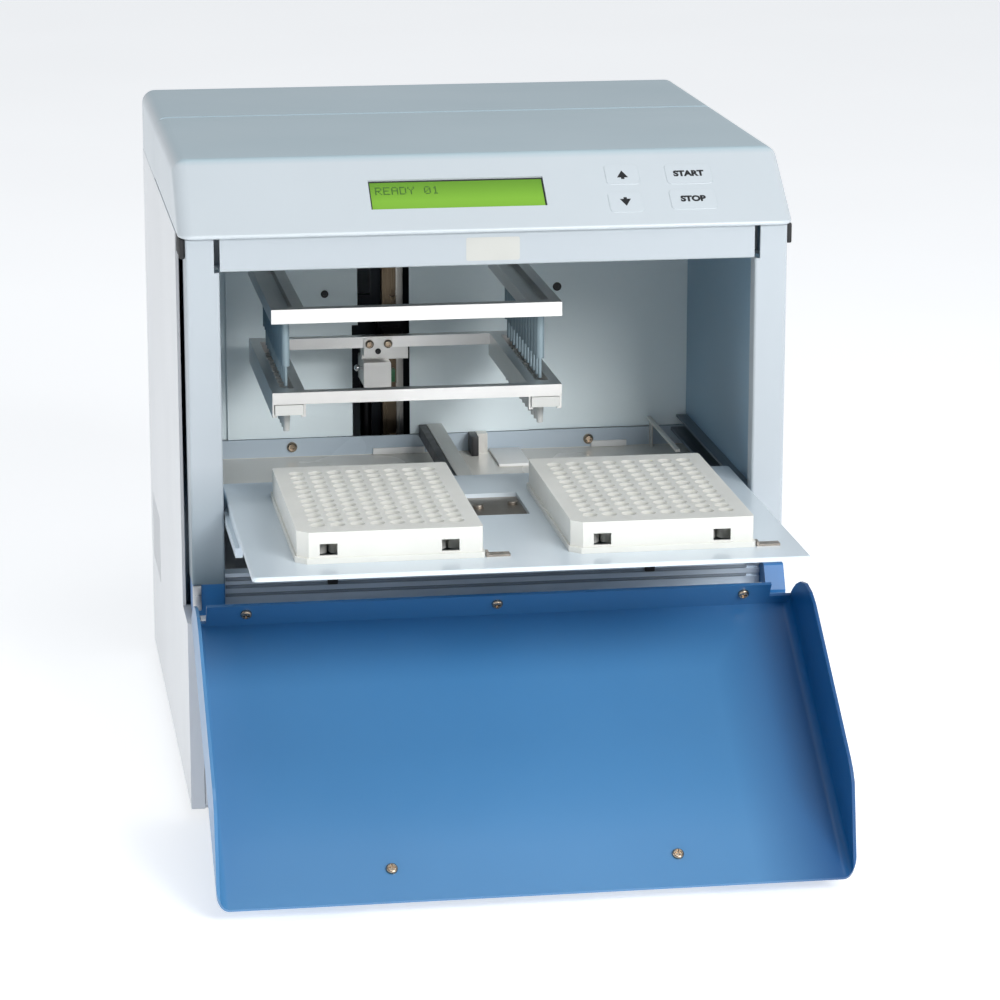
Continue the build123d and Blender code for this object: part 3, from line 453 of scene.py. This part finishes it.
# dark inner border of the display window
b = bmesh.new()
for x0, x1, y0, y1 in ((-54.9, 28.9, 36.9, 37.7), (-54.9, 28.9, 18.1, 18.5), (-54.9, -54.3, 18.5, 36.9), (28.3, 28.9, 18.5, 36.9)):
    prism(b, [(x0, y0), (x1, y0), (x1, y1), (x0, y1)], -1.11, -0.95)
add("display_border", b, BLACK, "chassis", BEZEL)

# blank label on the header
b = bmesh.new()
pts = []
for cxx, czz, a0 in ((13.2, 279.6, 0), (-10.4, 279.6, 90), (-10.4, 270.5, 180), (13.2, 270.5, 270)):
    for k in range(7):
        a = math.radians(a0 + k * 15)
        pts.append((cxx + math.cos(a), czz + math.sin(a)))
prism(b, pts, 0.0, 0.12)
add("header_label", b, LABEL, "chassis", Matrix(((1, 0, 0, 0), (0, 0, -1, YC * MM), (0, 1, 0, 0), (0, 0, 0, 1))))

# bumpers under the hood at both sides of the door opening
b = bmesh.new()
for s in (-1, 1):
    x0, x1 = sorted((s * 143.75, s * 146.3))
    block(b, x0, x1, 2.5, 24.0, 273.5, 283.1, 0.6)
add("door_bumpers", b, RUBBER, "chassis", SHIFT, 40)

# bright strike plate on the left hinge block
b = bmesh.new()
block(b, -143.5, -139.5, -1.2, 0.6, 104.0, 116.3, 0.35)
add("strike_plate", b, STEEL, "chassis", SHIFT, 40)

# screws in the chamber
b = bmesh.new()
for x, z in ((-78.6, 140.6), (79.0, 139.6)):
    screw(b, (x, 178.0, z), (0, -1, 0), 2.7, 1.8)
add("member_screws", b, SCREW, "chassis", None, 35)
b = bmesh.new()
for x, z in ((62.4, 221.6), (62.8, 165.8)):
    screw(b, (x, 180.4, z), (0, -1, 0), 2.3, 0.38)
add("wall_screws", b, BLACK, "chassis", None, 35)
b = bmesh.new()
screw(b, (-60.4, 178.9, 221.4), (0, -1, 0), 2.0, 0.9)
add("shield_screw", b, MOTOR, "head_carriage", None, 35)

# light strips and blocks on the rear shelf
b = bmesh.new()
block(b, -36.0, -8.6, 176.6, 178.1, 135.25, 138.6, 0.3)
block(b, 80.5, 99.5, 176.6, 178.1, 135.25, 138.6, 0.3)
block(b, 25.5, 42.0, 140.0, 177.0, 135.15, 136.6, 0.3)
add("shelf_blocks", b, WHITE, "chassis", SHIFT, 40)
# black bars on the rear shelf; the long one beside the centre rail is painted shade, a dark piece filling the slot
# there
b = bmesh.new()
block(b, 14.6, 18.5, 165.0, 178.1, 135.15, 145.7, 0.4)
block(b, -11.6, -7.6, 30.0, 177.9, 144.0, 150.4, 0.3)
add("shelf_black_bars", b, BLACK, "chassis", SHIFT, 40)

# screws, sensor and ball of the comb bracket
b = bmesh.new()
for x in (-41.2, -31.6):
    screw(b, (x, 143.5, 201.4), (0, -1, 0), 2.2, 1.5)
add("bracket_screws", b, SCREW, "comb_stage", None, 35)
b = bmesh.new()
screw(b, (-36.8, 143.5, 197.6), (0, -1, 0), 1.5, 1.0)
add("bracket_stud", b, BLACK, "comb_stage", None, 35)
b = bmesh.new()
block(b, -29.4, -26.0, 160.0, 164.0, 177.6, 184.4, 0.3)
add("bracket_sensor", b, BOARD, "comb_stage", SHIFT, 40)
b = bmesh.new()
bmesh.ops.create_uvsphere(b, u_segments=24, v_segments=14, radius=1.75 * MM, matrix=Matrix.Translation(Vector((-46.2, 156.0 + YC, 186.6)) * MM))
stem = bmesh.new()
bmesh.ops.create_cone(stem, cap_ends=True, segments=20, radius1=0.8 * MM, radius2=0.8 * MM, depth=3.0 * MM,
                      matrix=Matrix.Translation(Vector((-44.4, 156.0 + YC, 186.6)) * MM) @ Matrix.Rotation(math.radians(90), 4, "Y"))
tm = bpy.data.meshes.new("t")
stem.to_mesh(tm)
stem.free()
b.from_mesh(tm)
bpy.data.meshes.remove(tm)
add("bracket_ball", b, CHROME, "comb_stage", None, 40)

# gasket strips of the sill
b = bmesh.new()
for z0, z1 in ((103.3, 104.9), (108.7, 110.1), (112.7, 114.3), (116.3, 118.1)):
    block(b, -127.4, 127.4, 5.15, 6.3, z0, z1, 0.25, 1)
add("sill_gaskets", b, GASKET, "chassis", SHIFT, 40)
b = bmesh.new()
for x in (-76.0, 79.0):
    block(b, x - 2.5, x + 2.5, 3.4, 5.2, 113.0, 119.4, 0.5)
add("sill_latches", b, BLACK, "chassis", SHIFT, 40)

# marks beside the mains switch at the back
Y_BACK = 292.0
for nm, tx, zz in (("mark_on", "I", 47.0), ("mark_off", "O", 37.0)):
    cu = bpy.data.curves.new(nm, "FONT")
    cu.body = tx
    cu.size = 5.5 * MM
    cu.align_x = "CENTER"
    cu.align_y = "CENTER"
    cu.extrude = 0.04 * MM
    cu.resolution_u = 6
    t = bpy.data.objects.new(nm, cu)
    bpy.context.scene.collection.objects.link(t)
    bpy.context.view_layer.update()
    me = bpy.data.meshes.new_from_object(t.evaluated_get(bpy.context.evaluated_depsgraph_get()))
    bpy.data.objects.remove(t)
    b = bmesh.new()
    b.from_mesh(me)
    bmesh.ops.remove_doubles(b, verts=b.verts, dist=1e-6)
    bpy.data.meshes.remove(me)
    add(nm, b, INK, "chassis", Matrix(((-1, 0, 0, 59.0 * MM), (0, 0, 1, (Y_BACK + YC + 0.02) * MM), (0, 1, 0, zz * MM), (0, 0, 0, 1))))

# ------------------------------------------------------------------ stage
w = bpy.data.worlds.new("studio")
bpy.context.scene.world = w
w.use_nodes = True
wt = w.node_tree
bg = wt.nodes["Background"]
wc = wt.nodes.new("ShaderNodeTexCoord")
ws = wt.nodes.new("ShaderNodeSeparateXYZ")
wt.links.new(wc.outputs["Generated"], ws.inputs[0])
wr = wt.nodes.new("ShaderNodeValToRGB")
e = wr.color_ramp.elements
e[0].position = 0.0
e[0].color = (0.60, 0.62, 0.64, 1)
e[1].position = 1.0
e[1].color = (0.25, 0.27, 0.29, 1)
k = e.new(0.30)
k.color = (0.50, 0.52, 0.55, 1)
k = e.new(0.70)
k.color = (0.30, 0.32, 0.345, 1)
wt.links.new(ws.outputs[2], wr.inputs["Fac"])
wt.links.new(wr.outputs["Color"], bg.inputs["Color"])
bg.inputs["Strength"].default_value = 1.0

fm = bpy.data.meshes.new("floor")
bm = bmesh.new()
S = 8.0
v = [bm.verts.new(c) for c in ((-S, -S, 0), (S, -S, 0), (S, S, 0), (-S, S, 0))]
bm.faces.new(v)
bm.to_mesh(fm)
floor = bpy.data.objects.new("floor", fm)
bpy.context.scene.collection.objects.link(floor)
FLOOR = Mat("floor", (0.86, 0.87, 0.88), 0.7)
FLOOR.set_color(FLOOR.mix(FLOOR.mrange(FLOOR.noise(3.0, 2.0), 0.3, 0.7, 0, 1), (0.86, 0.87, 0.88), (0.89, 0.90, 0.91)))
FLOOR.b.inputs["Emission Color"].default_value = (1.0, 1.0, 1.0, 1.0)
FLOOR.b.inputs["Emission Strength"].default_value = 0.50
fm.materials.append(FLOOR.m)


def area(name, loc, target, size, power, color=(1, 1, 1)):
    d = bpy.data.lights.new(name, "AREA")
    d.shape = "RECTANGLE"
    d.size, d.size_y = size
    d.energy = power
    d.color = color
    o = bpy.data.objects.new(name, d)
    bpy.context.scene.collection.objects.link(o)
    o.location = loc
    o.rotation_euler = (Vector(target) - Vector(loc)).to_track_quat("-Z", "Y").to_euler()
    return o


area("key", (0.76, -1.86, 1.07), (0, 0.05, 0.18), (0.95, 0.58), 33)
area("top softbox", (0.2, -0.75, 1.95), (0, -0.08, 0.2), (0.9, 0.9), 8)
area("left softbox", (-2.3, -0.25, 0.75), (0, 0.0, 0.15), (1.0, 1.0), 10)

# ------------------------------------------------------------------ camera
f_px, yaw, pitch, roll = 3651.47, -0.1507, 0.2445, 0.0004
loc = Vector((-250.72, -1681.81 + YC, 577.1)) * MM
right = Vector((math.cos(yaw), math.sin(yaw), 0))
fwd = Vector((-math.sin(yaw), math.cos(yaw), 0))
down = Vector((0, 0, -1))
fwd2 = fwd * math.cos(pitch) + down * math.sin(pitch)
down2 = down * math.cos(pitch) - fwd * math.sin(pitch)
r3 = right * math.cos(roll) + down2 * math.sin(roll)
d3 = -right * math.sin(roll) + down2 * math.cos(roll)
cam = bpy.data.cameras.new("camera")
cam.sensor_width = 36.0
cam.sensor_fit = "HORIZONTAL"
cam.lens = f_px / 1000.0 * 36.0
cam.clip_start = 0.05
cam.clip_end = 50
co = bpy.data.objects.new("camera", cam)
bpy.context.scene.collection.objects.link(co)
Mx = Matrix(((r3.x, -d3.x, -fwd2.x, loc.x), (r3.y, -d3.y, -fwd2.y, loc.y), (r3.z, -d3.z, -fwd2.z, loc.z), (0, 0, 0, 1)))
co.matrix_world = Mx
bpy.context.scene.camera = co
bpy.context.scene.view_settings.view_transform = "Standard"
